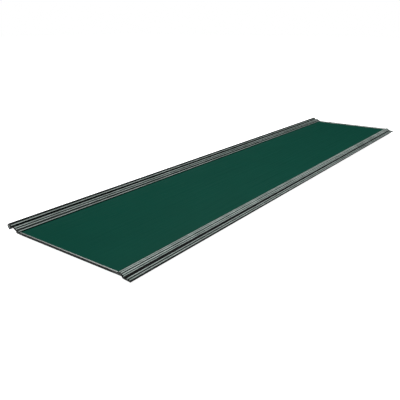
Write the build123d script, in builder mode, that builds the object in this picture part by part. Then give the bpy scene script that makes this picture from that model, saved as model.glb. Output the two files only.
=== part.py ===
from build123d import *
import os
from math import asin, atan2, cos, degrees, hypot, radians, sin, tan

# A straight slide section that lies low on a bank, millimetres, +Z up.
# The length runs along Y: the exit end is at -Y and the entry end at +Y.
# The left rail (-X) stands up and the right rail (+X) steps down, so that the
# lanes of a wide slide lap side by side. The origin is on the ground, at the
# middle of the overall length and width.

os.makedirs("parts", exist_ok=True)

# Driving sizes of the whole section
slide_length = 2600.0
bed_width = 480.0  # sliding surface between the two rails
left_rail_width = 66.0
right_rail_width = 55.0
pad_thickness = 3.0
bearer_depth = 28.0
sheet_thickness = 2.0

# Where the sliding surface lies
overall_width = left_rail_width + bed_width + right_rail_width
left_border = -overall_width / 2 + left_rail_width
right_border = left_border + bed_width
bed_centre = (left_border + right_border) / 2
bed_top = pad_thickness + bearer_depth + sheet_thickness
sheet_under = bed_top - sheet_thickness
exit_end = -slide_length / 2
entry_end = slide_length / 2

# Rail extrusions, seen along the slide: the first coordinate runs outwards from
# the border of the sliding surface, the second upwards from that surface
rail_wall = 2.5
sheet_lap = 12.0  # how far the sheet reaches into each rail
sheet_side_gap = 0.5
sheet_top_gap = 0.1
lip_top = sheet_top_gap + rail_wall
lower_lip = 18.0  # how far the lower lip reaches in under the sheet
web_inner = sheet_lap + sheet_side_gap
lower_lip_top = -sheet_thickness
lower_lip_under = lower_lip_top - rail_wall

left_plane = Plane(origin=(left_border, 0, bed_top), x_dir=(-1, 0, 0), z_dir=(0, 1, 0))
right_plane = Plane(origin=(right_border, 0, bed_top), x_dir=(1, 0, 0), z_dir=(0, -1, 0))

# Left rail: a leaning wall, a rounded crest and a slope that ends under the edge tube
hump_foot = 12.0
hump_wall_angle = 30.0
crest_height = 14.0
left_web_outer = 15.0
tube_diameter = 20.0
tube_wall = 2.5
tube_gap = 0.1
tube_height = 11.7  # centre of the edge tube above the sliding surface
crest_width = 3.5  # between the two corners that are rounded into the crest
seat_reach = 4.5  # how far the seat runs on past the tube's lowest line
tube_out = left_rail_width - tube_diameter / 2
seat_radius = tube_diameter / 2 + tube_gap
seat_top = tube_height - seat_radius
hump_top_inner = hump_foot + (crest_height - lip_top) / tan(radians(hump_wall_angle))
hump_top_outer = hump_top_inner + crest_width
crest_to_tube = (tube_out - hump_top_outer, crest_height - tube_height)
tube_slope = degrees(
    atan2(crest_to_tube[1], crest_to_tube[0]) + asin(seat_radius / hypot(*crest_to_tube))
)
seat_corner = tube_out - seat_radius * tan(radians(tube_slope) / 2)
foot_radius = 2.0
crest_radius = 4.5

# Right rail: a flat lip, a step down and a shelf that the next lane covers
step_out = 18.0
shelf_start = 24.5
shelf_drop = 8.0
shelf_slope = 5.6
edge_radius = 2.0
right_web_outer = 19.5
shoulder_radius = 5.0
step_radius = 4.0
edge_centre = right_rail_width - edge_radius
shelf_end_drop = shelf_drop + (edge_centre - shelf_start) * tan(radians(shelf_slope))
step_angle = 58.5

# Rub strips, round rods that stand a little out of grooves in the rails
strip_diameter = 3.6
strip_seat = 1.4
strip_gap = 0.03
strip_rise = strip_diameter / 2 - strip_seat
left_lip_strip = 5.5
wall_strip_low = 7.0
wall_strip_high = 11.6
tube_strip_angle = 22.0
right_lip_strip_inner = 6.0
right_lip_strip_outer = 13.5
shoulder_strip_drop = 0.4
step_strip_drop = 5.4
shelf_strip_inner = 37.5
shelf_strip_outer = 47.5
seal_out = 29.8
seal_width = 5.0
seal_height = 2.0

# Ends: guards on the rails, plugs in the tube, strips and nosings on the sheet
guard_thickness = 4.0
plug_flange = 3.0
plug_length = 18.0
plug_gap = 0.15
exit_trim_width = 5.0
entry_trim_width = 24.0  # wider, to cover the joint with what the slide starts from
trim_thickness = 1.0
trim_side_gap = 0.3
nosing_front = guard_thickness  # the sheet's end lies against both
nosing_wall = 3.2
nosing_reach = 14.0
nosing_side_gap = 0.3

# Frame under the sheet
stringer_leg = 26.0
stringer_wall = 3.0
bearer_count = 5
bearer_pitch = 520.0
bearer_web = 50.0
bearer_flange = 22.0
bearer_wall = 2.0
pad_width = 40.0
pad_side_gap = 6.0
entry_bracket_back = 40.0
exit_bracket_back = 60.0
bracket_leg = 34.0
bracket_wall = 3.0
mount_hole = 11.0
mount_spacing = 320.0
mount_drop = 16.0  # centre of the mounting holes below the sheet's underside

# Weld studs and flange nuts
stud_diameter = 6.0
stud_hole = 6.6
bearer_stud_length = 12.0
rail_stud_length = 16.0
nut_across_flats = 10.0
nut_height = 6.0
nut_flange_diameter = 14.0
nut_flange_height = 1.2
nut_gap = 0.1
bearer_stud_margin = 69.0  # from the end of a bearer to its outer studs
bearer_studs_across = 3
rail_stud_in = 8.5  # stud line, in from the border of the sliding surface
rail_stud_pitch = 260.0
rail_studs_along = 9
bracket_stud_margin = 39.0  # from the end of a bracket to its outer studs
bracket_studs_across = 4

rail_length = slide_length - 2 * guard_thickness
tube_length = slide_length - 2 * plug_flange
sheet_length = slide_length - 2 * nosing_front
sheet_width = bed_width + 2 * sheet_lap
stringer_start = exit_end + exit_bracket_back
stringer_end = entry_end - entry_bracket_back
stringer_length = stringer_end - stringer_start
stringer_middle = (stringer_start + stringer_end) / 2
stringer_under = bed_top + lower_lip_under - stringer_wall
frame_width = bed_width - 2 * (lower_lip + stringer_wall)
bearer_stud_spacing = (frame_width - 2 * bearer_stud_margin) / (bearer_studs_across - 1)
bracket_stud_spacing = (frame_width - 2 * bracket_stud_margin) / (bracket_studs_across - 1)
bearer_places = [
    (index - (bearer_count - 1) / 2) * bearer_pitch for index in range(bearer_count)
]
bearer_stud_line = bearer_web / 2 + bearer_flange / 2
bracket_stud_line = bracket_leg * 0.6
rail_stud_points = [
    (side, (index - (rail_studs_along - 1) / 2) * rail_stud_pitch)
    for side in (left_border + rail_stud_in, right_border - rail_stud_in)
    for index in range(rail_studs_along)
]
bearer_stud_points = [
    (bed_centre + (across - (bearer_studs_across - 1) / 2) * bearer_stud_spacing, place + line)
    for place in bearer_places
    for line in (-bearer_stud_line, bearer_stud_line)
    for across in range(bearer_studs_across)
]
bracket_stud_points = [
    (bed_centre + (across - (bracket_studs_across - 1) / 2) * bracket_stud_spacing, line)
    for line in (stringer_start + bracket_stud_line, stringer_end - bracket_stud_line)
    for across in range(bracket_studs_across)
]

# Centres of the rub strips on each rail
wall_cos = cos(radians(hump_wall_angle))
wall_sin = sin(radians(hump_wall_angle))
step_cos = cos(radians(step_angle))
step_sin = sin(radians(step_angle))
shelf_cos = cos(radians(shelf_slope))
shelf_sin = sin(radians(shelf_slope))
tube_strip_radius = tube_diameter / 2 + strip_rise


def on_hump_wall(height):
    out = hump_foot + (height - lip_top) / tan(radians(hump_wall_angle))
    return (out - strip_rise * wall_sin, height + strip_rise * wall_cos)


def on_step(drop):
    out = step_out + (lip_top + drop) / tan(radians(step_angle))
    return (out + strip_rise * step_sin, -drop + strip_rise * step_cos)


def on_shelf(out, rise):
    drop = shelf_drop + (out - shelf_start) * tan(radians(shelf_slope))
    return (out + rise * shelf_sin, -drop + rise * shelf_cos)


left_rail_strips = [
    (left_lip_strip, lip_top + strip_rise),
    on_hump_wall(wall_strip_low),
    on_hump_wall(wall_strip_high),
]
tube_strip = (
    tube_out - tube_strip_radius * cos(radians(tube_strip_angle)),
    tube_height + tube_strip_radius * sin(radians(tube_strip_angle)),
)
right_rail_strips = [
    (right_lip_strip_inner, lip_top + strip_rise),
    (right_lip_strip_outer, lip_top + strip_rise),
    on_step(shoulder_strip_drop),
    on_step(step_strip_drop),
    on_shelf(shelf_strip_inner, strip_rise),
    on_shelf(shelf_strip_outer, strip_rise),
]

# Bed sheet: one flat powder-coated sheet with no hole in the sliding surface
with BuildPart() as bed_sheet:
    with BuildSketch(Plane.XY.offset(sheet_under)):
        with Locations((bed_centre, 0)):
            Rectangle(sheet_width, sheet_length)
    extrude(amount=sheet_thickness)
bed_sheet.part.label = "bed_sheet"
export_step(bed_sheet.part, "parts/bed_sheet.step")

# Left rail section: lips round the sheet, the hump, and the seat under the tube
with BuildSketch() as left_section:
    with BuildLine():
        FilletPolyline(
            (0, lip_top),
            (hump_foot, lip_top),
            (hump_top_inner, crest_height),
            (hump_top_outer, crest_height),
            (seat_corner, seat_top),
            (tube_out + seat_reach, seat_top),
            radius=[foot_radius, crest_radius, crest_radius, seat_radius],
        )
        offset(amount=rail_wall, side=Side.RIGHT)
    make_face()
    with Locations((-lower_lip, lower_lip_under)):
        Rectangle(lower_lip + left_web_outer, rail_wall, align=(Align.MIN, Align.MIN))
    with Locations((web_inner, lower_lip_under)):
        Rectangle(
            left_web_outer - web_inner,
            lip_top - lower_lip_under,
            align=(Align.MIN, Align.MIN),
        )
    with Locations((tube_out, tube_height)):
        Circle(seat_radius, mode=Mode.SUBTRACT)
    with Locations(*left_rail_strips):
        Circle(strip_diameter / 2 + strip_gap, mode=Mode.SUBTRACT)

# Right rail section: lips round the sheet, the step down, the shelf and its round edge
with BuildSketch() as right_section:
    with BuildLine():
        FilletPolyline(
            (0, lip_top),
            (step_out, lip_top),
            (shelf_start, -shelf_drop),
            (edge_centre, -shelf_end_drop),
            radius=[shoulder_radius, step_radius],
        )
        offset(amount=rail_wall, side=Side.RIGHT)
    make_face()
    with Locations((-lower_lip, lower_lip_under)):
        Rectangle(lower_lip + right_web_outer, rail_wall, align=(Align.MIN, Align.MIN))
    with Locations((web_inner, lower_lip_under)):
        Rectangle(
            right_web_outer - web_inner,
            -lower_lip_under,
            align=(Align.MIN, Align.MIN),
        )
    with Locations((edge_centre, -shelf_end_drop - rail_wall / 2)):
        Circle(edge_radius)
    with Locations(*right_rail_strips):
        Circle(strip_diameter / 2 + strip_gap, mode=Mode.SUBTRACT)

# Rails: the two side extrusions, drilled for the studs of the sheet
rail_sections = {
    "left_rail": (left_section, left_plane, left_border + rail_stud_in),
    "right_rail": (right_section, right_plane, right_border - rail_stud_in),
}
for name, (section, plane, stud_line) in rail_sections.items():
    with BuildPart() as rail:
        with BuildSketch(plane.offset(-rail_length / 2)):
            add(section.sketch)
        extrude(amount=rail_length)
        with BuildSketch(Plane.XY.offset(bed_top + lower_lip_under)):
            with Locations((stud_line, 0)):
                with GridLocations(1, rail_stud_pitch, 1, rail_studs_along):
                    Circle(stud_hole / 2)
        extrude(amount=rail_wall, mode=Mode.SUBTRACT)
    rail.part.label = name
    export_step(rail.part, f"parts/{name}.step")

# End guards: black pads with the outline of the rail, closed where the sheet ends and
# raised beside the nosing to the height of the trim
for name, (section, plane, stud_line) in rail_sections.items():
    for end, away in (("exit", -1), ("entry", 1)):
        toward = away * plane.z_dir.Y
        with BuildPart() as end_guard:
            with BuildSketch(plane.offset(toward * rail_length / 2)):
                add(section.sketch)
                with Locations((-lower_lip, lower_lip_top)):
                    Rectangle(
                        lower_lip + web_inner,
                        sheet_thickness,
                        align=(Align.MIN, Align.MIN),
                    )
                    Rectangle(
                        lower_lip,
                        sheet_thickness + trim_thickness,
                        align=(Align.MIN, Align.MIN),
                    )
            extrude(amount=toward * guard_thickness)
        end_guard.part.label = f"{name}_{end}_guard"
        export_step(end_guard.part, f"parts/{name}_{end}_guard.step")

# Edge tube: the round outer edge of the left rail, grooved for its rub strip
with BuildPart() as left_edge_tube:
    with BuildSketch(left_plane.offset(-tube_length / 2)):
        with Locations((tube_out, tube_height)):
            Circle(tube_diameter / 2)
            Circle(tube_diameter / 2 - tube_wall, mode=Mode.SUBTRACT)
        with Locations(tube_strip):
            Circle(strip_diameter / 2 + strip_gap, mode=Mode.SUBTRACT)
    extrude(amount=tube_length)
left_edge_tube.part.label = "left_edge_tube"
export_step(left_edge_tube.part, "parts/left_edge_tube.step")

# Tube plugs: a domed flange outside and a spigot inside each end of the tube
for end, away in (("exit", -1), ("entry", 1)):
    with BuildPart() as tube_plug:
        with BuildSketch(left_plane.offset(away * tube_length / 2)):
            with Locations((tube_out, tube_height)):
                Circle(tube_diameter / 2)
        extrude(amount=away * plug_flange)
        outer_face = tube_plug.faces().sort_by(Axis.Y)[0 if away < 0 else -1]
        fillet(outer_face.edges(), radius=plug_flange / 2)
        with BuildSketch(left_plane.offset(away * tube_length / 2)):
            with Locations((tube_out, tube_height)):
                Circle(tube_diameter / 2 - tube_wall - plug_gap)
        extrude(amount=-away * plug_length)
    tube_plug.part.label = f"left_tube_{end}_plug"
    export_step(tube_plug.part, f"parts/left_tube_{end}_plug.step")

# Rub strips: round rods along the rails, and one along the tube
rub_strips = {
    "left": (left_plane, [*left_rail_strips, tube_strip]),
    "right": (right_plane, right_rail_strips),
}
for side, (plane, centres) in rub_strips.items():
    for number, centre in enumerate(centres, start=1):
        strip_length = tube_length if centre == tube_strip else rail_length
        with BuildPart() as rub_strip:
            with BuildSketch(plane.offset(-strip_length / 2)):
                with Locations(centre):
                    Circle(strip_diameter / 2)
            extrude(amount=strip_length)
        rub_strip.part.label = f"{side}_rub_strip_{number}"
        export_step(rub_strip.part, f"parts/{side}_rub_strip_{number}.step")

# Lap seal: a soft strip on the shelf, which the next lane presses on
with BuildPart() as right_lap_seal:
    with BuildSketch(right_plane.offset(-rail_length / 2)):
        with Locations(Location(on_shelf(seal_out, 0), -shelf_slope)):
            Rectangle(seal_width, seal_height, align=(Align.CENTER, Align.MIN))
    extrude(amount=rail_length)
right_lap_seal.part.label = "right_lap_seal"
export_step(right_lap_seal.part, "parts/right_lap_seal.step")

# End trims and nosings: a black edge round each end of the sheet, as high as the bright
# strip that lies on the sheet behind it
nosing_width = bed_width - 2 * (lower_lip + nosing_side_gap)
for end, away, trim_width in (("exit", -1, exit_trim_width), ("entry", 1, entry_trim_width)):
    with BuildPart() as trim:
        with BuildSketch(Plane.XY.offset(bed_top)):
            with Locations((bed_centre, away * (sheet_length - trim_width) / 2)):
                Rectangle(bed_width - 2 * trim_side_gap, trim_width)
        extrude(amount=trim_thickness)
    trim.part.label = f"{end}_trim"
    export_step(trim.part, f"parts/{end}_trim.step")

    nosing_plane = Plane(
        origin=(bed_centre - nosing_width / 2, away * slide_length / 2, sheet_under),
        x_dir=(0, -away, 0),
        z_dir=(-away, 0, 0),
    )
    with BuildPart() as nosing:
        with BuildSketch(nosing_plane):
            Rectangle(
                nosing_front,
                sheet_thickness + trim_thickness,
                align=(Align.MIN, Align.MIN),
            )
            with Locations((0, -nosing_wall)):
                Rectangle(nosing_reach, nosing_wall, align=(Align.MIN, Align.MIN))
        extrude(amount=-away * nosing_width)
    nosing.part.label = f"{end}_nosing"
    export_step(nosing.part, f"parts/{end}_nosing.step")

# Stringers: one angle along each side, its top leg under the rail's lower lip
stringer_edges = {
    "left_stringer": (left_plane, left_border + rail_stud_in),
    "right_stringer": (right_plane, right_border - rail_stud_in),
}
for name, (plane, stud_line) in stringer_edges.items():
    along = plane.z_dir.Y
    with BuildPart() as stringer:
        with BuildSketch(plane.offset(along * stringer_middle - stringer_length / 2)):
            with Locations((-lower_lip - stringer_wall, lower_lip_under)):
                Rectangle(stringer_leg, stringer_wall, align=(Align.MIN, Align.MAX))
                Rectangle(
                    stringer_wall,
                    bed_top + lower_lip_under - pad_thickness,
                    align=(Align.MIN, Align.MAX),
                )
        extrude(amount=stringer_length)
        with BuildSketch(Plane.XY.offset(stringer_under)):
            with Locations((stud_line, 0)):
                with GridLocations(1, rail_stud_pitch, 1, rail_studs_along):
                    Circle(stud_hole / 2)
        extrude(amount=stringer_wall, mode=Mode.SUBTRACT)
    stringer.part.label = name
    export_step(stringer.part, f"parts/{name}.step")

# Cross bearers: top-hat sections between the stringers, and the pad under each
for number, place in enumerate(bearer_places, start=1):
    with BuildPart() as cross_bearer:
        with BuildSketch(Plane.YZ.offset(bed_centre - frame_width / 2)):
            with Locations((place, sheet_under)):
                Rectangle(
                    bearer_web + 2 * bearer_flange,
                    bearer_wall,
                    align=(Align.CENTER, Align.MAX),
                )
                Rectangle(bearer_web, bearer_depth, align=(Align.CENTER, Align.MAX))
                Rectangle(
                    bearer_web - 2 * bearer_wall,
                    bearer_depth - bearer_wall,
                    align=(Align.CENTER, Align.MAX),
                    mode=Mode.SUBTRACT,
                )
        extrude(amount=frame_width)
        with BuildSketch(Plane.XY.offset(sheet_under - bearer_wall)):
            with Locations((bed_centre, place)):
                with GridLocations(
                    bearer_stud_spacing, 2 * bearer_stud_line, bearer_studs_across, 2
                ):
                    Circle(stud_hole / 2)
        extrude(amount=bearer_wall, mode=Mode.SUBTRACT)
    cross_bearer.part.label = f"cross_bearer_{number}"
    export_step(cross_bearer.part, f"parts/cross_bearer_{number}.step")

    with BuildPart() as bearer_pad:
        with BuildSketch():
            with Locations((bed_centre, place)):
                Rectangle(frame_width - 2 * pad_side_gap, pad_width)
        extrude(amount=pad_thickness)
    bearer_pad.part.label = f"bearer_pad_{number}"
    export_step(bearer_pad.part, f"parts/bearer_pad_{number}.step")

# Mounting brackets: an angle across each end of the frame, drilled for the fixing bolts
bracket_ends = {"exit_bracket": (stringer_start, -1), "entry_bracket": (stringer_end, 1)}
for name, (face_place, away) in bracket_ends.items():
    bracket_plane = Plane(
        origin=(bed_centre - frame_width / 2, face_place, sheet_under),
        x_dir=(0, -away, 0),
        z_dir=(-away, 0, 0),
    )
    with BuildPart() as bracket:
        with BuildSketch(bracket_plane):
            Rectangle(bracket_leg, bracket_wall, align=(Align.MIN, Align.MAX))
            Rectangle(bracket_wall, bearer_depth, align=(Align.MIN, Align.MAX))
        extrude(amount=-away * frame_width)
        with BuildSketch(Plane.XZ.offset(-face_place)):
            with Locations((bed_centre, sheet_under - mount_drop)):
                with GridLocations(mount_spacing, 1, 2, 1):
                    Circle(mount_hole / 2)
        extrude(amount=away * bracket_wall, mode=Mode.SUBTRACT)
        with BuildSketch(Plane.XY.offset(sheet_under - bracket_wall)):
            with Locations((bed_centre, face_place - away * bracket_stud_line)):
                with GridLocations(bracket_stud_spacing, 1, bracket_studs_across, 1):
                    Circle(stud_hole / 2)
        extrude(amount=bracket_wall, mode=Mode.SUBTRACT)
    bracket.part.label = name
    export_step(bracket.part, f"parts/{name}.step")

# Weld studs under the sheet and the flange nuts that clamp what they pass through
stud_groups = {
    "bearer": (bearer_stud_points, bearer_stud_length, bearer_wall),
    "rail": (rail_stud_points, rail_stud_length, rail_wall + stringer_wall),
    "bracket": (bracket_stud_points, bearer_stud_length, bracket_wall),
}
for name, (points, stud_length, clamped) in stud_groups.items():
    with BuildPart() as studs:
        with BuildSketch(Plane.XY.offset(sheet_under)):
            with Locations(*points):
                Circle(stud_diameter / 2)
        extrude(amount=-stud_length)
    studs.part.label = f"{name}_studs"
    export_step(studs.part, f"parts/{name}_studs.step")

    with BuildPart() as nuts:
        with BuildSketch(Plane.XY.offset(sheet_under - clamped)):
            with Locations(*points):
                Circle(nut_flange_diameter / 2)
        extrude(amount=-nut_flange_height)
        with BuildSketch(Plane.XY.offset(sheet_under - clamped)):
            with Locations(*points):
                RegularPolygon(nut_across_flats / 2, 6, major_radius=False)
        extrude(amount=-nut_height)
        with BuildSketch(Plane.XY.offset(sheet_under - clamped)):
            with Locations(*points):
                Circle(stud_diameter / 2 + nut_gap)
        extrude(amount=-nut_height, mode=Mode.SUBTRACT)
    nuts.part.label = f"{name}_nuts"
    export_step(nuts.part, f"parts/{name}_nuts.step")
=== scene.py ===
import math

import bmesh
import bpy
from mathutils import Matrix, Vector


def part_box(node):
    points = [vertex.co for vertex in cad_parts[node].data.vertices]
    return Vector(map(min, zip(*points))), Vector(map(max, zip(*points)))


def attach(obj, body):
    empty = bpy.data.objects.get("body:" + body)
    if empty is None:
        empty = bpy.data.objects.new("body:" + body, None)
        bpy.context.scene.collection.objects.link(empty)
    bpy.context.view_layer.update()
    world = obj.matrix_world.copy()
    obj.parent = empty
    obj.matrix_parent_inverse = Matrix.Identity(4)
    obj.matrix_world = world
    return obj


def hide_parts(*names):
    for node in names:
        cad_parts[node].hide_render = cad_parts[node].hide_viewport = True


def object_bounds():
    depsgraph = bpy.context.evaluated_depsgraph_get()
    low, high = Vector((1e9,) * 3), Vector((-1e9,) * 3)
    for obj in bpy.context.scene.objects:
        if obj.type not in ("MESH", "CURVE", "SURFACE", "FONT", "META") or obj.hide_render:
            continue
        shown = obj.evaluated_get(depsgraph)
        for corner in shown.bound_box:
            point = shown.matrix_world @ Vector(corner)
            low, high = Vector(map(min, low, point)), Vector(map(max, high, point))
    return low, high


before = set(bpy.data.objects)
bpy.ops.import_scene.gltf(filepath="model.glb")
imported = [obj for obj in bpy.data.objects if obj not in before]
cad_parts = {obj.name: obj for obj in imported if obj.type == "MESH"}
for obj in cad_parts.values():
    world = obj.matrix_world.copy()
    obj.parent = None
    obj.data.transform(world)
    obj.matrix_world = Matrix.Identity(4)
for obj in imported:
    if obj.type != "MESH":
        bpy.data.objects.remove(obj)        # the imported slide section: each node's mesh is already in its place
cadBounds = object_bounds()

mm = 0.001  # every size below is written in millimetres and turned to metres with this
scene = bpy.context.scene
bodyName = "root"
bearerCount = 5
ends = (("exit", -1), ("entry", 1))  # each end's name, and which way along Y it points
leftStrips = ["left_rub_strip_1", "left_rub_strip_2", "left_rub_strip_3"]
tubeStrips = ["left_rub_strip_4"]
rightStrips = [f"right_rub_strip_{number}" for number in range(1, 7)]


# small helpers

def hexToLinear(code):
    # an sRGB hex colour as the linear one that the shaders take
    channels = [int(code[place:place + 2], 16) / 255 for place in (1, 3, 5)]
    return (*[c / 12.92 if c <= 0.04045 else ((c + 0.055) / 1.055) ** 2.4 for c in channels], 1.0)


def addNode(tree, kind, inputs=None, **settings):
    # one node with its settings; a socket given as an input is linked, a value is set
    node = tree.nodes.new(kind)
    for name, value in settings.items():
        setattr(node, name, value)
    for socket, value in (inputs or {}).items():
        if isinstance(value, bpy.types.NodeSocket):
            tree.links.new(value, node.inputs[socket])
        else:
            node.inputs[socket].default_value = value
    return node


def addMath(tree, operation, *values):
    # the result of one Math node
    return addNode(tree, "ShaderNodeMath", dict(enumerate(values)), operation=operation).outputs[0]


def addRange(tree, value, taken=(0.0, 1.0), given=(0.0, 1.0), **settings):
    # a value moved from the taken span to the given one and held between its ends
    return addNode(tree, "ShaderNodeMapRange", {
        "Value": value, "From Min": taken[0], "From Max": taken[1],
        "To Min": given[0], "To Max": given[1],
    }, **settings).outputs["Result"]


def addNoise(tree, coordinates, size=None, detail=2.0, roughness=0.5):
    # noise with lumps of about this size; stretched coordinates carry their own sizes
    return addNode(tree, "ShaderNodeTexNoise", {
        "Vector": coordinates, "Scale": 1 / (size * mm) if size else 1.0,
        "Detail": detail, "Roughness": roughness,
    }).outputs["Fac"]


def stretch(tree, coordinates, *sizes):
    # coordinates in which noise has lumps of these three sizes
    scale = tuple(1 / (size * mm) for size in sizes)
    return addNode(tree, "ShaderNodeMapping", {"Vector": coordinates, "Scale": scale}).outputs["Vector"]


def addBump(tree, height, strength, depth):
    return addNode(
        tree, "ShaderNodeBump", {"Height": height, "Strength": strength, "Distance": depth * mm}
    ).outputs["Normal"]


def mixColours(tree, share, first, second):
    # a colour between two, each a hex code or a socket
    ends = [hexToLinear(end) if isinstance(end, str) else end for end in (first, second)]
    return addNode(tree, "ShaderNodeMix", {0: share, 6: ends[0], 7: ends[1]}, data_type="RGBA").outputs[2]


def startMaterial(name):
    material = bpy.data.materials.new(name)
    material.use_nodes = True
    tree = material.node_tree
    shader = tree.nodes["Principled BSDF"]
    coordinates = addNode(tree, "ShaderNodeTexCoord").outputs["Object"]
    return material, tree, shader, coordinates


def joinShader(tree, shader, outputs):
    for name, output in outputs.items():
        tree.links.new(output, shader.inputs[name])


def startTree(name, inputs):
    # an empty Geometry Nodes tree with these named inputs and a Geometry output
    tree = bpy.data.node_groups.new(name, "GeometryNodeTree")
    for label, kind in inputs:
        tree.interface.new_socket(label, in_out="INPUT", socket_type="NodeSocket" + kind)
    tree.interface.new_socket("Geometry", in_out="OUTPUT", socket_type="NodeSocketGeometry")
    given = addNode(tree, "NodeGroupInput")
    return tree, given.outputs


def endTree(tree, geometry, material):
    realized = addNode(tree, "GeometryNodeRealizeInstances", {"Geometry": geometry})
    finished = addNode(
        tree,
        "GeometryNodeSetMaterial",
        {"Geometry": realized.outputs["Geometry"], "Material": material},
    )
    addNode(tree, "NodeGroupOutput", {"Geometry": finished.outputs["Geometry"]})


def meshFrom(bm, name):
    mesh = bpy.data.meshes.new(name)
    bm.to_mesh(mesh)
    bm.free()
    return mesh


def addPiece(name, mesh):
    piece = bpy.data.objects.new(name, mesh)
    scene.collection.objects.link(piece)
    return piece


def runTree(name, tree, values, startMesh=None):
    # the tree's result as a plain mesh on an object at the origin
    piece = addPiece(name, startMesh or bpy.data.meshes.new(name))
    modifier = piece.modifiers.new("tree", "NODES")
    modifier.node_group = tree
    for item in tree.interface.items_tree:
        if item.in_out == "INPUT" and item.name in values:
            modifier[item.identifier] = values[item.name]
    evaluated = piece.evaluated_get(bpy.context.evaluated_depsgraph_get())
    mesh = bpy.data.meshes.new_from_object(evaluated)
    piece.modifiers.remove(modifier)
    piece.data = mesh
    mesh.name = name
    return piece


def shadeSoft(mesh, angle=30):
    # smooth shading that stays crisp where faces meet at more than this angle
    mesh.polygons.foreach_set("use_smooth", [True] * len(mesh.polygons))
    mesh.set_sharp_from_angle(angle=math.radians(angle))


def breakEdges(piece, width, segments=2, sharperThan=35):
    # the small radius that every real edge has
    bevel = piece.modifiers.new("edges", "BEVEL")
    bevel.width = width * mm
    bevel.segments = segments
    bevel.limit_method = "ANGLE"
    bevel.angle_limit = math.radians(sharperThan)
    bevel.harden_normals = True


def settle(piece, material, slotName, *nodes):
    # gives a piece its material and its body, and hides the nodes that it stands for
    if not piece.data.materials:
        piece.data.materials.append(material)
    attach(piece, bodyName)
    if nodes:
        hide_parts(*nodes)
    return piece


def mergedCopy(node, gap=0.002, flatWithin=0.4):
    # a node's loose triangles merged to one closed mesh, its flat faces made whole again
    bm = bmesh.new()
    bm.from_mesh(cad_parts[node].data)
    bmesh.ops.remove_doubles(bm, verts=bm.verts, dist=gap * mm)
    bmesh.ops.dissolve_limit(bm, angle_limit=math.radians(flatWithin), verts=bm.verts, edges=bm.edges)
    return bm


def softCopy(name, node, material, slotName, edge=0.3, angle=30):
    # the node's own shape with its edges broken and its round faces shaded round
    mesh = meshFrom(mergedCopy(node), name)
    shadeSoft(mesh, angle)
    piece = addPiece(name, mesh)
    if edge:
        breakEdges(piece, edge)
    return settle(piece, material, slotName, node)


def boxCentre(node):
    low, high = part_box(node)
    return (low + high) / 2


def islandBoxes(node):
    # lowest and highest corner of each separate solid in a node
    bm = mergedCopy(node)
    waiting, boxes = set(bm.verts), []
    while waiting:
        stack, found = [waiting.pop()], []
        while stack:
            vert = stack.pop()
            found.append(vert.co.copy())
            for edge in vert.link_edges:
                other = edge.other_vert(vert)
                if other in waiting:
                    waiting.remove(other)
                    stack.append(other)
        low = Vector([min(co[axis] for co in found) for axis in range(3)])
        high = Vector([max(co[axis] for co in found) for axis in range(3)])
        boxes.append((low, high))
    bm.free()
    return sorted(boxes, key=lambda box: tuple(box[0]))


def sweep(name, outline, axis, start, end):
    # a closed bar: outline holds the two other coordinates, in metres, in order round it
    bm = bmesh.new()
    rings = []
    for along in (start, end):
        if axis == "x":
            rings.append([bm.verts.new((along, a, b)) for a, b in outline])
        else:
            rings.append([bm.verts.new((a, along, b)) for a, b in outline])
    count = len(outline)
    for place in range(count):
        after = (place + 1) % count
        bm.faces.new((rings[0][place], rings[0][after], rings[1][after], rings[1][place]))
    bm.faces.new(rings[0])
    bm.faces.new(rings[1])
    bmesh.ops.recalc_face_normals(bm, faces=bm.faces)
    mesh = meshFrom(bm, name)
    shadeSoft(mesh)
    return addPiece(name, mesh)


def rounded(corners, radii, steps=4):
    # an outline whose corners are arcs of these radii; a radius of 0 leaves the corner sharp
    outline = []
    for place, (corner, radius) in enumerate(zip(corners, radii)):
        corner = Vector(corner)
        if not radius:
            outline.append(tuple(corner))
            continue
        before = (Vector(corners[place - 1]) - corner).normalized()
        after = (Vector(corners[(place + 1) % len(corners)]) - corner).normalized()
        half = before.angle(after) / 2
        centre = corner + (before + after).normalized() * radius / math.sin(half)
        first = corner + before * radius / math.tan(half) - centre
        last = corner + after * radius / math.tan(half) - centre
        start = math.atan2(first.y, first.x)
        turn = math.remainder(math.atan2(last.y, last.x) - start, 2 * math.pi)
        for step in range(steps + 1):
            angle = start + turn * step / steps
            outline.append((centre.x + radius * math.cos(angle), centre.y + radius * math.sin(angle)))
    return outline


# materials

noiseSpan = (0.3, 0.7)  # noise seldom leaves this span
bedCoat = {
    "colour": "#044538",
    "shades": (0.97, 1.03),
    "roughness": (0.37, 0.52),
    "specular": 0.08,
    "peel": 6.0,  # orange peel is about 2 mm across; drawn coarser, so that it shows
    "peelStrength": 0.5,
    "peelDepth": 0.02,
    "scuffWidth": 5.0,
    "scuffLength": 420.0,
    "scuffSpan": (0.35, 0.75),
    "mottle": 160.0,
}


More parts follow.
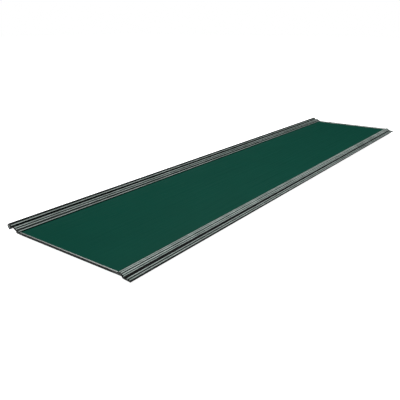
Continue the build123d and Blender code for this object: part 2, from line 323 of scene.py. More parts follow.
def bedPowderCoat():
    # polyester powder coat on steel sheet, sprayed and baked: one deep even colour, a fine
    # orange peel, and a faint haze of lengthwise rubbing that only changes the gloss
    material, tree, shader, coordinates = startMaterial("bedPowderCoat")
    peel = addNoise(tree, coordinates, bedCoat["peel"], detail=2.0, roughness=0.45)
    length = bedCoat["scuffLength"]
    rubbed = stretch(tree, coordinates, bedCoat["scuffWidth"], length, length)
    scuff = addNoise(tree, rubbed, detail=3.0, roughness=0.6)
    patches = addNoise(tree, coordinates, bedCoat["mottle"], detail=3.0)
    shade = addRange(tree, patches, noiseSpan, bedCoat["shades"])
    hue = addNode(
        tree, "ShaderNodeHueSaturation", {"Color": hexToLinear(bedCoat["colour"]), "Value": shade}
    )
    joinShader(tree, shader, {
        "Base Color": hue.outputs["Color"],
        "Roughness": addRange(tree, scuff, bedCoat["scuffSpan"], bedCoat["roughness"]),
        "Normal": addBump(tree, peel, bedCoat["peelStrength"], bedCoat["peelDepth"]),
    })
    shader.inputs["Specular IOR Level"].default_value = bedCoat["specular"]
    return material


railCoat = {
    "colour": "#050E0B",
    # painted shade: the near-black colour drawn in the corner beside each rub strip
    "paintedShade": "#020303",
    "paintedShadeReach": (0.96, 1.6),  # how far from a strip's side the painted shade line fades out
    "paintedShadePatch": 35.0,
    "roughness": (0.85, 0.5),  # in the painted shade and away from it
    "specular": 0.15,
    "dieLine": 1.2,  # marks of the die are finer than this; drawn coarser, so that they show
    "dieLength": 900.0,
    "dieStrength": 0.6,
    "dieDepth": 0.03,
}


def nearestStrip(tree, coordinates, strips):
    # the distance to the middle of the nearest strip, measured across the rail
    across = addNode(
        tree, "ShaderNodeVectorMath", {0: coordinates, 1: (1.0, 0.0, 1.0)}, operation="MULTIPLY"
    ).outputs["Vector"]
    nearest = None
    for node in strips:
        centre = boxCentre(node)
        distance = addNode(
            tree, "ShaderNodeVectorMath", {0: across, 1: (centre.x, 0.0, centre.z)}, operation="DISTANCE"
        ).outputs["Value"]
        nearest = distance if nearest is None else addMath(tree, "MINIMUM", nearest, distance)
    return nearest


def railPowderCoat(name, strips):
    # powder coat on extruded aluminium: darker than the bed, faint marks of the die along
    # its length, and painted shade: a dark line drawn in the corner beside each rub strip
    material, tree, shader, coordinates = startMaterial(name)
    line = railCoat["dieLine"]
    drawn = stretch(tree, coordinates, line, railCoat["dieLength"], line)
    marks = addNoise(tree, drawn, detail=2.0)
    low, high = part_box(strips[0])
    stripRadius = (high.x - low.x) / 2
    uneven = addNoise(tree, coordinates, railCoat["paintedShadePatch"], detail=3.0)
    reach = addRange(tree, uneven, noiseSpan, [stripRadius + far * mm for far in railCoat["paintedShadeReach"]])
    nearest = nearestStrip(tree, coordinates, strips)
    # painted shade mask: 0 at a strip's side, where the rail is painted near-black, and 1 past the reach
    unshaded = addRange(tree, nearest, (stripRadius, reach), interpolation_type="SMOOTHSTEP")
    joinShader(tree, shader, {
        "Base Color": mixColours(tree, unshaded, railCoat["paintedShade"], railCoat["colour"]),
        "Roughness": addRange(tree, unshaded, given=railCoat["roughness"]),
        "Normal": addBump(tree, marks, railCoat["dieStrength"], railCoat["dieDepth"]),
    })
    shader.inputs["Specular IOR Level"].default_value = railCoat["specular"]
    return material


stripNylon = {
    "colour": "#C8D6D1",
    "worn": "#84958E",
    "roughness": (0.42, 0.62),
    "streakWidth": 1.0,
    "streakLength": 260.0,
    "streakStrength": 0.4,
    "streakDepth": 0.03,
    "patch": 70.0,
    "wearSpan": (0.12, 0.42),
}


def rubStripNylon():
    # nylon rod, extruded: pale, satin, with long fine streaks and duller patches where it rubs
    material, tree, shader, coordinates = startMaterial("rubStripNylon")
    width = stripNylon["streakWidth"]
    drawn = stretch(tree, coordinates, width, stripNylon["streakLength"], width)
    streaks = addNoise(tree, drawn, detail=2.0)
    patches = addNoise(tree, coordinates, stripNylon["patch"], detail=4.0, roughness=0.6)
    wear = addRange(tree, addMath(tree, "MULTIPLY", streaks, patches), stripNylon["wearSpan"])
    joinShader(tree, shader, {
        "Base Color": mixColours(tree, wear, stripNylon["colour"], stripNylon["worn"]),
        "Roughness": addRange(tree, wear, given=stripNylon["roughness"]),
        "Normal": addBump(tree, streaks, stripNylon["streakStrength"], stripNylon["streakDepth"]),
    })
    return material


trimMetal = {
    "colour": "#E4E8E5",
    "roughness": (0.30, 0.52),
    "brushLine": 0.8,
    "brushLength": 60.0,
    "brushStrength": 0.5,
    "brushDepth": 0.02,
}


def brushedAluminium():
    # aluminium flat, brushed along the strip: fine lines that run across the slide
    material, tree, shader, coordinates = startMaterial("brushedAluminium")
    line = trimMetal["brushLine"]
    drawn = stretch(tree, coordinates, trimMetal["brushLength"], line, line)
    brushed = addNoise(tree, drawn, detail=4.0, roughness=0.7)
    joinShader(tree, shader, {
        "Roughness": addRange(tree, brushed, given=trimMetal["roughness"]),
        "Normal": addBump(tree, brushed, trimMetal["brushStrength"], trimMetal["brushDepth"]),
    })
    shader.inputs["Base Color"].default_value = hexToLinear(trimMetal["colour"])
    shader.inputs["Metallic"].default_value = 1.0
    return material


darkParts = {
    "blackNylon": {
        "colour": "#0B0E0D", "dust": "#2A2F2D", "roughness": (0.40, 0.60), "grain": 1.5, "depth": 0.05,
    },
    "greyNylon": {
        "colour": "#5E6763", "dust": "#858D89", "roughness": (0.45, 0.65), "grain": 1.5, "depth": 0.05,
    },
    "blackRubber": {
        "colour": "#0A0B0B", "dust": "#34373A", "roughness": (0.67, 0.87), "grain": 2.2, "depth": 0.08,
    },
}
darkSurface = {"patch": 28.0, "dustSpan": (0.45, 0.8), "mostDust": 0.5, "grainStrength": 0.6, "specular": 0.3}


def darkMaterial(name):
    # moulded nylon has a fine spark-eroded grain; EPDM rubber is duller, with a grey bloom
    values = darkParts[name]
    material, tree, shader, coordinates = startMaterial(name)
    grain = addNoise(tree, coordinates, values["grain"], detail=2.0)
    bloom = addNoise(tree, coordinates, darkSurface["patch"], detail=4.0, roughness=0.6)
    dust = addRange(tree, bloom, darkSurface["dustSpan"], (0.0, darkSurface["mostDust"]))
    joinShader(tree, shader, {
        "Base Color": mixColours(tree, dust, values["colour"], values["dust"]),
        "Roughness": addRange(tree, bloom, given=values["roughness"]),
        "Normal": addBump(tree, grain, darkSurface["grainStrength"], values["depth"]),
    })
    shader.inputs["Specular IOR Level"].default_value = darkSurface["specular"]
    return material


zincCoat = {
    "light": "#B9BEC0",
    "dark": "#8D9497",
    "bloom": "#D8DAD8",
    "spangle": 9.0,
    "roughness": (0.32, 0.54),
    "metallic": 0.9,
    "stain": 45.0,
    "stainSpan": (0.55, 0.75),
    "mostBloom": 0.6,
    "bumpStrength": 0.5,
    "bumpDepth": 0.12,
}


def galvanisedSteel():
    # steel dipped in molten zinc: frozen crystals, each with its own grey and its own gloss,
    # and a dull pale bloom where water has stood
    material, tree, shader, coordinates = startMaterial("galvanisedSteel")
    crystals = addNode(
        tree, "ShaderNodeTexVoronoi",
        {"Vector": coordinates, "Scale": 1 / (zincCoat["spangle"] * mm), "Randomness": 1.0},
    )
    tone = addNode(tree, "ShaderNodeSeparateColor", {"Color": crystals.outputs["Color"]})
    grey = mixColours(tree, tone.outputs["Red"], zincCoat["dark"], zincCoat["light"])
    water = addNoise(tree, coordinates, zincCoat["stain"], detail=5.0, roughness=0.65)
    bloom = addRange(tree, water, zincCoat["stainSpan"], (0.0, zincCoat["mostBloom"]))
    joinShader(tree, shader, {
        "Base Color": mixColours(tree, bloom, grey, zincCoat["bloom"]),
        "Roughness": addRange(tree, tone.outputs["Green"], given=zincCoat["roughness"]),
        "Normal": addBump(tree, water, zincCoat["bumpStrength"], zincCoat["bumpDepth"]),
    })
    shader.inputs["Metallic"].default_value = zincCoat["metallic"]
    return material


zincFilm = {"warm": "#D2D0C4", "cool": "#BEC8D0", "cloud": 6.0, "roughness": (0.22, 0.4)}


def zincPlate():
    # bright electroplated zinc with a clear passivate: silver with faint warm and cool clouds
    material, tree, shader, coordinates = startMaterial("zincPlate")
    clouds = addNoise(tree, coordinates, zincFilm["cloud"], detail=3.0)
    joinShader(tree, shader, {
        "Base Color": mixColours(tree, clouds, zincFilm["warm"], zincFilm["cool"]),
        "Roughness": addRange(tree, clouds, given=zincFilm["roughness"]),
    })
    shader.inputs["Metallic"].default_value = 1.0
    return material


bedMaterial = bedPowderCoat()
leftRailMaterial = railPowderCoat("leftRailPowderCoat", leftStrips)
rightRailMaterial = railPowderCoat("rightRailPowderCoat", rightStrips)
tubeMaterial = railPowderCoat("tubePowderCoat", tubeStrips)
stripMaterial = rubStripNylon()
trimMaterial = brushedAluminium()
nylonMaterial = darkMaterial("blackNylon")
coreMaterial = darkMaterial("greyNylon")
rubberMaterial = darkMaterial("blackRubber")
steelMaterial = galvanisedSteel()
zincMaterial = zincPlate()
print("materials made")


# bed sheet: dished a little between the bearers, as welded sheet is

bedSheet = {"dish": 0.35, "acrossCells": 24, "alongCells": 240}


def bedSheetTree():
    tree, given = startTree("bedSheetTree", [
        ("Size", "Vector"), ("Centre", "Vector"), ("Bay", "Float"), ("Dish", "Float"),
        ("Across Cells", "Int"), ("Along Cells", "Int"), ("Material", "Material"),
    ])
    slab = addNode(
        tree, "GeometryNodeMeshCube",
        {"Size": given["Size"], "Vertices X": given["Across Cells"], "Vertices Y": given["Along Cells"]},
    )
    position = addNode(tree, "GeometryNodeInputPosition").outputs[0]
    place = addNode(tree, "ShaderNodeSeparateXYZ", {0: position})
    size = addNode(tree, "ShaderNodeSeparateXYZ", {0: given["Size"]})
    # each bay sinks as a sine squared along the slide and as a cosine squared across it
    bays = addMath(tree, "DIVIDE", place.outputs["Y"], given["Bay"])
    bayWave = addMath(tree, "SINE", addMath(tree, "MULTIPLY", bays, math.pi))
    side = addMath(tree, "DIVIDE", place.outputs["X"], size.outputs["X"])
    sideWave = addMath(tree, "COSINE", addMath(tree, "MULTIPLY", side, math.pi))
    sink = addMath(
        tree, "MULTIPLY", addMath(tree, "POWER", bayWave, 2.0), addMath(tree, "POWER", sideWave, 2.0)
    )
    # the two ends, past the outer bearers, are held flat by their nosings
    outerBearer = addMath(tree, "MULTIPLY", given["Bay"], 2.0)
    between = addMath(tree, "LESS_THAN", addMath(tree, "ABSOLUTE", place.outputs["Y"]), outerBearer)
    depth = addMath(tree, "MULTIPLY", addMath(tree, "MULTIPLY", sink, between), given["Dish"])
    offset = addNode(tree, "ShaderNodeCombineXYZ", {"Z": addMath(tree, "MULTIPLY", depth, -1.0)})
    dished = addNode(
        tree, "GeometryNodeSetPosition", {"Geometry": slab.outputs["Mesh"], "Offset": offset.outputs[0]}
    )
    placed = addNode(
        tree, "GeometryNodeTransform",
        {"Geometry": dished.outputs["Geometry"], "Translation": given["Centre"]},
    )
    endTree(tree, placed.outputs["Geometry"], given["Material"])
    return tree


def makeBedSheet():
    low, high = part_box("bed_sheet")
    first, second = boxCentre("cross_bearer_1"), boxCentre("cross_bearer_2")
    piece = runTree("bed_sheet_panel", bedSheetTree(), {
        "Size": tuple(high - low),
        "Centre": tuple((low + high) / 2),
        "Bay": second.y - first.y,
        "Dish": bedSheet["dish"] * mm,
        "Across Cells": bedSheet["acrossCells"] + 1,
        "Along Cells": bedSheet["alongCells"] + 1,
        "Material": bedMaterial,
    })
    shadeSoft(piece.data)
    return settle(piece, bedMaterial, "bed_coat", "bed_sheet")


makeBedSheet()
print("bed sheet made")


# rails, edge tube and the guards on the rail ends

railEdges = {"rail": 0.25, "tube": 0.3, "guard": 0.35}


def makeRails():
    softCopy("left_rail_extrusion", "left_rail", leftRailMaterial, "rail_coat", railEdges["rail"])
    softCopy("right_rail_extrusion", "right_rail", rightRailMaterial, "rail_coat", railEdges["rail"])
    softCopy("left_edge_tube_body", "left_edge_tube", tubeMaterial, "rail_coat", railEdges["tube"])
    for side in ("left", "right"):
        for end in ("exit", "entry"):
            softCopy(
                f"{side}_{end}_guard_moulding", f"{side}_rail_{end}_guard",
                nylonMaterial, "black_plastic", railEdges["guard"],
            )


makeRails()
print("rails, tube and guards made")


# rub strips: round rods pressed into grooves of the rails

rubStrip = {"sides": 16, "edge": 0.4, "crispAngle": 50}


def rubStripTree():
    tree, given = startTree("rubStripTree", [
        ("Start", "Vector"), ("End", "Vector"), ("Radius", "Float"), ("Sides", "Int"),
        ("Material", "Material"),
    ])
    line = addNode(tree, "GeometryNodeCurvePrimitiveLine", {"Start": given["Start"], "End": given["End"]})
    ring = addNode(
        tree, "GeometryNodeCurvePrimitiveCircle", {"Resolution": given["Sides"], "Radius": given["Radius"]}
    )
    rod = addNode(
        tree, "GeometryNodeCurveToMesh",
        {"Curve": line.outputs["Curve"], "Profile Curve": ring.outputs["Curve"], "Fill Caps": True},
    )
    endTree(tree, rod.outputs["Mesh"], given["Material"])
    return tree


def makeRubStrips():
    tree = rubStripTree()
    for node in [*leftStrips, *tubeStrips, *rightStrips]:
        low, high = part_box(node)
        centre = (low + high) / 2
        piece = runTree(f"{node}_rod", tree, {
            "Start": (centre.x, low.y, centre.z),
            "End": (centre.x, high.y, centre.z),
            "Radius": (high.x - low.x) / 2,
            "Sides": rubStrip["sides"],
            "Material": stripMaterial,
        })
        shadeSoft(piece.data, rubStrip["crispAngle"])
        breakEdges(piece, rubStrip["edge"])
        settle(piece, stripMaterial, "rub_strip", node)


makeRubStrips()
print("rub strips made")


# lap seal: three soft ribs on a flat back

lapSeal = {"ribs": 3, "stepsPerRib": 8, "valley": 0.45}


def makeLapSeal():
    low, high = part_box("right_lap_seal")
    bm = mergedCopy("right_lap_seal")
    corners = sorted({(round(v.co.x, 6), round(v.co.z, 6)) for v in bm.verts if v.co.y < low.y + mm})
    bm.free()
    inner, outer = sorted(corners[:2], key=lambda c: c[1]), sorted(corners[2:], key=lambda c: c[1])
    footIn, topIn = Vector(inner[0]), Vector(inner[1])
    footOut, topOut = Vector(outer[0]), Vector(outer[1])
    count = lapSeal["ribs"] * lapSeal["stepsPerRib"]
    outline = [tuple(footOut), tuple(footIn)]
    for step in range(count + 1):
        share = step / count
        arch = abs(math.sin(math.pi * lapSeal["ribs"] * share))
        rise = lapSeal["valley"] + (1 - lapSeal["valley"]) * arch
        foot, top = footIn.lerp(footOut, share), topIn.lerp(topOut, share)
        outline.append(tuple(foot.lerp(top, rise)))
    piece = sweep("right_lap_seal_strip", outline, "y", low.y, high.y)
    settle(piece, rubberMaterial, "black_rubber", "right_lap_seal")


makeLapSeal()
print("lap seal made")


# end trims and nosings

endTrim = {"crown": 0.8, "groove": 0.3, "inset": 1.2, "edge": 0.1}


def makeTrim(end):
    low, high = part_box(f"{end}_trim")
    groove, inset = endTrim["groove"] * mm, endTrim["inset"] * mm
    corners = [
        (low.y, low.z), (high.y, low.z), (high.y, high.z),
        (high.y - inset, high.z), (high.y - inset - groove, high.z - groove),
        (high.y - inset - 2 * groove, high.z), (low.y + inset + 2 * groove, high.z),
        (low.y + inset + groove, high.z - groove), (low.y + inset, high.z), (low.y, high.z),
    ]
    crown = endTrim["crown"] * mm
    radii = [0, 0, crown, 0, 0, 0, 0, 0, 0, crown]
    piece = sweep(f"{end}_trim_strip", rounded(corners, radii), "x", low.x, high.x)
    breakEdges(piece, endTrim["edge"], segments=1)
    settle(piece, trimMaterial, "trim_metal", f"{end}_trim")


endNosing = {"round": 0.9}


def makeNosing(end, away):
    # a bar along the sheet's end, with a foot under the sheet
    low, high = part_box(f"{end}_nosing")
    sheetLow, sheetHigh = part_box("bed_sheet")
    face, back, step = (low.y, high.y, sheetLow.y) if away < 0 else (high.y, low.y, sheetHigh.y)
    corners = [
        (face, low.z), (back, low.z), (back, sheetLow.z), (step, sheetLow.z), (step, high.z), (face, high.z)
    ]
    radius = endNosing["round"] * mm
    outline = rounded(corners, [radius, radius, 0, 0, 0, radius])
    piece = sweep(f"{end}_nosing_strip", outline, "x", low.x, high.x)
    settle(piece, rubberMaterial, "black_rubber", f"{end}_nosing")


for end, away in ends:
    makeTrim(end)
    makeNosing(end, away)
print("trims and nosings made")


# plugs in the ends of the edge tube: a black rim round a grey core

tubePlug = {
    "sides": 40,
    "rimSteps": 6,
    "recess": 0.44,  # share of the radius
    "ringDepth": 0.5,
    "spigotRibs": 5,
    "spigotRib": 0.5,
    "play": 0.2,
}


def plugProfile(radius, rim, spigot, length):
    # distance from the middle and depth: from the recessed core, over the rim, to the spigot's end
    ringDepth, recess = tubePlug["ringDepth"] * mm, tubePlug["recess"] * radius
    valley = spigot - tubePlug["spigotRib"] * mm
    profile = [(0.0, ringDepth), (recess, ringDepth), (recess + ringDepth, 0.0)]
    for step in range(tubePlug["rimSteps"] + 1):
        turn = math.pi / 2 * step / tubePlug["rimSteps"]
        profile.append((radius - rim / 2 * (1 - math.sin(turn)), rim / 2 * (1 - math.cos(turn))))
    profile += [(radius, rim), (valley, rim)]
    for rib in range(tubePlug["spigotRibs"]):
        start, finish = [rim + length * (rib + part) / tubePlug["spigotRibs"] for part in (0.25, 0.75)]
        profile += [(valley, start), (spigot, (start + finish) / 2), (valley, finish)]
    return [*profile, (valley, rim + length), (0.0, rim + length)]


def makeTubePlug(end, away):
    node = f"left_tube_{end}_plug"
    low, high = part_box(node)
    centre = (low + high) / 2
    tubeLow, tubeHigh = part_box("left_edge_tube")
    outside, inside, mouth = (low.y, high.y, tubeLow.y) if away < 0 else (high.y, low.y, tubeHigh.y)
    bore = min(
        math.hypot(v.co.x - centre.x, v.co.z - centre.z)
        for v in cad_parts["left_edge_tube"].data.vertices
    )
    profile = plugProfile(
        (high.x - low.x) / 2, abs(outside - mouth), bore - tubePlug["play"] * mm, abs(inside - mouth)
    )
    bm = bmesh.new()
    verts = [bm.verts.new((centre.x + out, outside - away * depth, centre.z)) for out, depth in profile]
    edges = [bm.edges.new(pair) for pair in zip(verts, verts[1:])]
    bmesh.ops.spin(
        bm, geom=verts + edges, cent=centre, axis=(0, 1, 0), angle=2 * math.pi,
        steps=tubePlug["sides"], use_duplicate=False,
    )
    bmesh.ops.remove_doubles(bm, verts=bm.verts, dist=0.001 * mm)
    bmesh.ops.recalc_face_normals(bm, faces=bm.faces)
    mesh = meshFrom(bm, f"{node}_cap")
    shadeSoft(mesh)
    mesh.materials.append(nylonMaterial)
    mesh.materials.append(coreMaterial)
    core = outside - away * tubePlug["ringDepth"] * mm
    for face in mesh.polygons:
        if abs(face.center.y - core) < 0.01 * mm:
            face.material_index = 1
    settle(addPiece(f"{node}_cap", mesh), nylonMaterial, "black_plastic", node)


for end, away in ends:
    makeTubePlug(end, away)
print("tube plugs made")


# frame under the sheet: stringers, bearers, brackets and the rubber pads

underFrame = {"edge": 0.5, "padRibs": 7, "padGroove": 0.9}


def makeFrame():
    look = (steelMaterial, "galvanised_steel", underFrame["edge"])
    for side in ("left", "right"):
        softCopy(f"{side}_stringer_angle", f"{side}_stringer", *look)
    for end, _ in ends:
        softCopy(f"{end}_bracket_angle", f"{end}_bracket", *look)
    for number in range(1, bearerCount + 1):
        softCopy(f"cross_bearer_{number}_section", f"cross_bearer_{number}", *look)
        low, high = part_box(f"bearer_pad_{number}")
        width = high.y - low.y
        groove = underFrame["padGroove"] * mm
        ribs = underFrame["padRibs"]
        outline = [(low.y, high.z), (low.y, low.z)]
        for rib in range(1, ribs):
            middle = low.y + width * rib / ribs
            outline += [(middle - groove, low.z), (middle, low.z + groove), (middle + groove, low.z)]
        outline += [(high.y, low.z), (high.y, high.z)]
        piece = sweep(f"bearer_pad_{number}_strip", outline, "x", low.x, high.x)
        settle(piece, rubberMaterial, "black_rubber", f"bearer_pad_{number}")


makeFrame()
print("frame and pads made")


# weld beads where bearers and brackets meet the stringers

weldBead = {"radius": 1.6, "ripple": 0.28, "pitch": 1.5, "step": 0.5, "sides": 8, "margin": 2.0}


def weldBeadTree():
    tree, given = startTree("weldBeadTree", [
        ("Geometry", "Geometry"), ("Radius", "Float"), ("Ripple", "Float"), ("Pitch", "Float"),
        ("Step", "Float"), ("Sides", "Int"), ("Material", "Material"),
    ])
    curve = addNode(tree, "GeometryNodeMeshToCurve", {"Mesh": given["Geometry"]})
    fine = addNode(
        tree, "GeometryNodeResampleCurve",
        {"Curve": curve.outputs["Curve"], "Length": given["Step"]}, mode="LENGTH",
    )
    along = addNode(tree, "GeometryNodeSplineParameter").outputs["Length"]
    ripples = addMath(tree, "DIVIDE", along, given["Pitch"])
    wave = addMath(tree, "SINE", addMath(tree, "MULTIPLY", ripples, math.pi))
    lump = addMath(tree, "ABSOLUTE", wave)
    swell = addMath(tree, "MULTIPLY_ADD", lump, given["Ripple"], given["Radius"])
    ring = addNode(tree, "GeometryNodeCurvePrimitiveCircle", {"Resolution": given["Sides"], "Radius": 1.0})
    bead = addNode(
        tree, "GeometryNodeCurveToMesh",
        {"Curve": fine.outputs["Curve"], "Profile Curve": ring.outputs["Curve"],
         "Scale": swell, "Fill Caps": True},
    )
    endTree(tree, bead.outputs["Mesh"], given["Material"])
    return tree


def footSpan(node):
    # from where to where a node's lowest part reaches along the slide
    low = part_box(node)[0]
    places = [v.co.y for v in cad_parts[node].data.vertices if v.co.z < low.z + mm]
    return min(places), max(places)


def weldLines():
    # two ends of each upright bead, in the corners between the cross pieces and the stringers
    inward = weldBead["radius"] / 2 * mm
    margin = weldBead["margin"] * mm
    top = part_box("left_stringer")[1].z - margin
    joints = []
    for number in range(1, bearerCount + 1):
        node = f"cross_bearer_{number}"
        front, back = footSpan(node)
        middle, webHalf = boxCentre(node).y, (back - front) / 2
        joints += [(node, middle - webHalf - inward), (node, middle + webHalf + inward)]
    for end, away in ends:
        node = f"{end}_bracket"
        front, back = footSpan(node)
        joints.append((node, (back if away < 0 else front) - away * inward))
    lines = []
    for node, y in joints:
        low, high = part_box(node)
        for x in (low.x + inward, high.x - inward):
            lines.append(((x, y, low.z + margin), (x, y, top)))
    return lines


def makeWelds():
    bm = bmesh.new()
    for line in weldLines():
        bm.edges.new([bm.verts.new(place) for place in line])
    piece = runTree("frame_weld_beads", weldBeadTree(), {
        "Radius": weldBead["radius"] * mm,
        "Ripple": weldBead["ripple"] * mm,
        "Pitch": weldBead["pitch"] * mm,
        "Step": weldBead["step"] * mm,
        "Sides": weldBead["sides"],
        "Material": steelMaterial,
    }, meshFrom(bm, "frame_weld_beads"))
    shadeSoft(piece.data, angle=60)
    settle(piece, steelMaterial, "galvanised_steel")


makeWelds()
print("welds made")


# weld studs and flange nuts

fastener = {
    "pitch": 1.0, "threadDepth": 0.35, "studSides": 14,
    "nutSteps": 24, "acrossFlats": 10.0, "bore": 3.1,
    "flangeHeight": 0.8, "chamfer": 0.95, "chamferHeight": 0.6,
}


def studTree():
    tree, given = startTree("studTree", [
        ("Geometry", "Geometry"), ("Radius", "Float"), ("Length", "Float"), ("Pitch", "Float"),
        ("Thread Depth", "Float"), ("Sides", "Int"), ("Rings", "Int"), ("Material", "Material"),
    ])
    rod = addNode(
        tree, "GeometryNodeMeshCylinder",
        {"Vertices": given["Sides"], "Side Segments": given["Rings"], "Radius": given["Radius"],
         "Depth": given["Length"]},
    )
    position = addNode(tree, "GeometryNodeInputPosition").outputs[0]
    place = addNode(tree, "ShaderNodeSeparateXYZ", {0: position})
    turns = addMath(tree, "DIVIDE", place.outputs["Z"], given["Pitch"])
    crest = addMath(tree, "PINGPONG", turns, 0.5)
    share = addMath(tree, "DIVIDE", given["Thread Depth"], given["Radius"])
    cut = addMath(tree, "MULTIPLY", addMath(tree, "MULTIPLY", crest, share), 2.0)
    shrink = addMath(tree, "SUBTRACT", 1.0, cut)
    factor = addNode(tree, "ShaderNodeCombineXYZ", {"X": shrink, "Y": shrink, "Z": 1.0})
    moved = addNode(
        tree, "ShaderNodeVectorMath", {0: position, 1: factor.outputs[0]}, operation="MULTIPLY"
    )
    threaded = addNode(
        tree, "GeometryNodeSetPosition",
        {"Geometry": rod.outputs["Mesh"], "Position": moved.outputs[0]},
    )
    placed = addNode(
        tree, "GeometryNodeInstanceOnPoints",
        {"Points": given["Geometry"], "Instance": threaded.outputs["Geometry"]},
    )
    endTree(tree, placed.outputs["Instances"], given["Material"])
    return tree


def pointMesh(name, points):
    mesh = bpy.data.meshes.new(name)
    mesh.from_pydata([tuple(point) for point in points], [], [])
    return mesh


def nutMesh():
    # a ring turned round the stud; outside, it is drawn in to the hexagon and to the chamfer
    low, high = islandBoxes("bearer_nuts")[0]
    height, flangeRadius = high.z - low.z, (high.x - low.x) / 2
    halfFlats, bore = fastener["acrossFlats"] / 2 * mm, fastener["bore"] * mm
    flange, chamfer = fastener["flangeHeight"] * mm, fastener["chamferHeight"] * mm
    rows = [  # radius, height above the nut's free end, and whether the flats cut it
        (bore, 0.0, False), (halfFlats * fastener["chamfer"], 0.0, True),
        (flangeRadius, chamfer, True), (flangeRadius, height - 2 * flange, True),
        (flangeRadius, height - flange, False), (flangeRadius, height, False),
        (bore, height, False),
    ]
    steps = fastener["nutSteps"]
    bm = bmesh.new()
    rings = []
    for radius, rise, cut in rows:
        ring = []
        for step in range(steps):
            angle = 2 * math.pi * step / steps
            flats = halfFlats / math.cos(angle % (math.pi / 3) - math.pi / 6)
            reach = min(radius, flats) if cut else radius
            place = (reach * math.cos(angle), reach * math.sin(angle), rise - height / 2)
            ring.append(bm.verts.new(place))
        rings.append(ring)
    for ring, following in zip(rings, rings[1:] + rings[:1]):
        for step in range(steps):
            after = (step + 1) % steps
            bm.faces.new((ring[step], ring[after], following[after], following[step]))
    bmesh.ops.recalc_face_normals(bm, faces=bm.faces)
    return meshFrom(bm, "flange_nut")


def nutTree():
    # one nut on each stud, each stopped at its own angle
    tree, given = startTree("nutTree", [
        ("Geometry", "Geometry"), ("Nut", "Object"), ("Seed", "Int"), ("Material", "Material"),
    ])
    nut = addNode(tree, "GeometryNodeObjectInfo", {"Object": given["Nut"]})
    angle = addNode(
        tree, "FunctionNodeRandomValue", {2: 0.0, 3: math.pi / 3, "Seed": given["Seed"]},
        data_type="FLOAT",
    )
    turn = addNode(tree, "ShaderNodeCombineXYZ", {"Z": angle.outputs[1]})
    rotation = addNode(tree, "FunctionNodeEulerToRotation", {0: turn.outputs[0]})
    placed = addNode(
        tree, "GeometryNodeInstanceOnPoints",
        {"Points": given["Geometry"], "Instance": nut.outputs["Geometry"],
         "Rotation": rotation.outputs[0]},
    )
    endTree(tree, placed.outputs["Instances"], given["Material"])
    return tree


def makeStuds():
    tree = studTree()
    for group in ("bearer", "rail", "bracket"):
        boxes = islandBoxes(f"{group}_studs")
        low, high = boxes[0]
        length = high.z - low.z
        piece = runTree(f"{group}_studs_threaded", tree, {
            "Radius": (high.x - low.x) / 2,
            "Length": length,
            "Pitch": fastener["pitch"] * mm,
            "Thread Depth": fastener["threadDepth"] * mm,
            "Sides": fastener["studSides"],
            "Rings": round(length / (fastener["pitch"] * mm)) * 2,
            "Material": zincMaterial,
        }, pointMesh(f"{group}_stud_places", [(a + b) / 2 for a, b in boxes]))
        shadeSoft(piece.data, angle=20)
        settle(piece, zincMaterial, "zinc_fastener", f"{group}_studs")


makeStuds()
print("studs made")


def makeNuts():
    template = addPiece("flange_nut", nutMesh())
    tree = nutTree()
    for seed, group in enumerate(("bearer", "rail", "bracket"), start=1):
        places = [(low + high) / 2 for low, high in islandBoxes(f"{group}_nuts")]
        piece = runTree(f"{group}_nuts_flanged", tree, {
            "Nut": template, "Seed": seed, "Material": zincMaterial,
        }, pointMesh(f"{group}_nut_places", places))
        shadeSoft(piece.data)
        settle(piece, zincMaterial, "zinc_fastener", f"{group}_nuts")
    bpy.data.objects.remove(template)


makeNuts()
print("nuts made")


# floor, light and camera

studio = {
    "floorSize": 60.0,
    "floorGap": 0.02,
    "floorColour": "#FFFFFF",
    "floorRoughness": 0.9,
    "floorSpecular": 0.1,
    "floorGlow": 1.0,
    "background": 1.0,  # what the camera sees behind the slide
    "walls": 0.015,
    "ceiling": 0.8,
    "ceilingStart": (0.45, 0.95),  # height in a direction of length 1, where the walls turn paler
    "keyPower": 66.0,
    "keySize": (3.4, 4.4),
    "keyHeight": 2.6,
}
camera = {
    "place": (1.1726, -2.1478, 0.7061),
    "tilt": 70.05,  # degrees from straight down
    "turn": 36.443,
    "lens": 43.037,
    "sensor": 36.0,
    "clipEnd": 200.0,
}


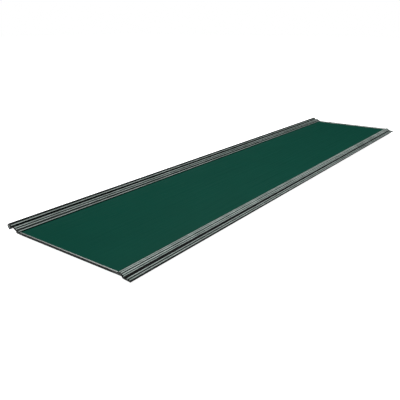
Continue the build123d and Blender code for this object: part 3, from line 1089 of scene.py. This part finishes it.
def makeFloor():
    place = (0, 0, cadBounds[0].z - studio["floorGap"] * mm)
    bpy.ops.mesh.primitive_plane_add(size=studio["floorSize"], location=place)
    floor = bpy.context.object
    floor.name = "studio_floor"
    material, _, shader, _ = startMaterial("paleFloor")
    shader.inputs["Base Color"].default_value = hexToLinear(studio["floorColour"])
    shader.inputs["Roughness"].default_value = studio["floorRoughness"]
    shader.inputs["Specular IOR Level"].default_value = studio["floorSpecular"]
    shader.inputs["Emission Color"].default_value = (1, 1, 1, 1)
    shader.inputs["Emission Strength"].default_value = studio["floorGlow"]
    floor.data.materials.append(material)


def makeLight():
    # the room: white behind the slide, dim walls, a pale ceiling
    world = bpy.data.worlds.new("studio")
    scene.world = world
    world.use_nodes = True
    tree = world.node_tree
    tree.nodes.clear()
    direction = addNode(tree, "ShaderNodeTexCoord").outputs["Generated"]
    height = addNode(tree, "ShaderNodeSeparateXYZ", {0: direction}).outputs["Z"]
    glow = addRange(
        tree, height, studio["ceilingStart"], (studio["walls"], studio["ceiling"]),
        interpolation_type="SMOOTHSTEP",
    )
    seen = addNode(tree, "ShaderNodeLightPath").outputs["Is Camera Ray"]
    strength = addNode(tree, "ShaderNodeMix", {0: seen, 2: glow, 3: studio["background"]})
    background = addNode(
        tree, "ShaderNodeBackground", {"Color": (1.0, 1.0, 1.0, 1.0), "Strength": strength.outputs[0]}
    )
    addNode(tree, "ShaderNodeOutputWorld", {"Surface": background.outputs[0]})
    key = bpy.data.lights.new("overhead_softbox", "AREA")
    key.shape = "RECTANGLE"
    key.size, key.size_y = studio["keySize"]
    key.energy = studio["keyPower"]
    lamp = bpy.data.objects.new("overhead_softbox", key)
    lamp.location = (0, 0, studio["keyHeight"])
    scene.collection.objects.link(lamp)


def makeCamera():
    data = bpy.data.cameras.new("view")
    data.lens = camera["lens"]
    data.sensor_width = camera["sensor"]
    data.clip_end = camera["clipEnd"]
    viewer = bpy.data.objects.new("view", data)
    viewer.location = camera["place"]
    viewer.rotation_euler = (math.radians(camera["tilt"]), 0, math.radians(camera["turn"]))
    scene.collection.objects.link(viewer)
    scene.camera = viewer


makeFloor()
makeLight()
makeCamera()
scene.view_settings.view_transform = "Standard"
print("studio made")
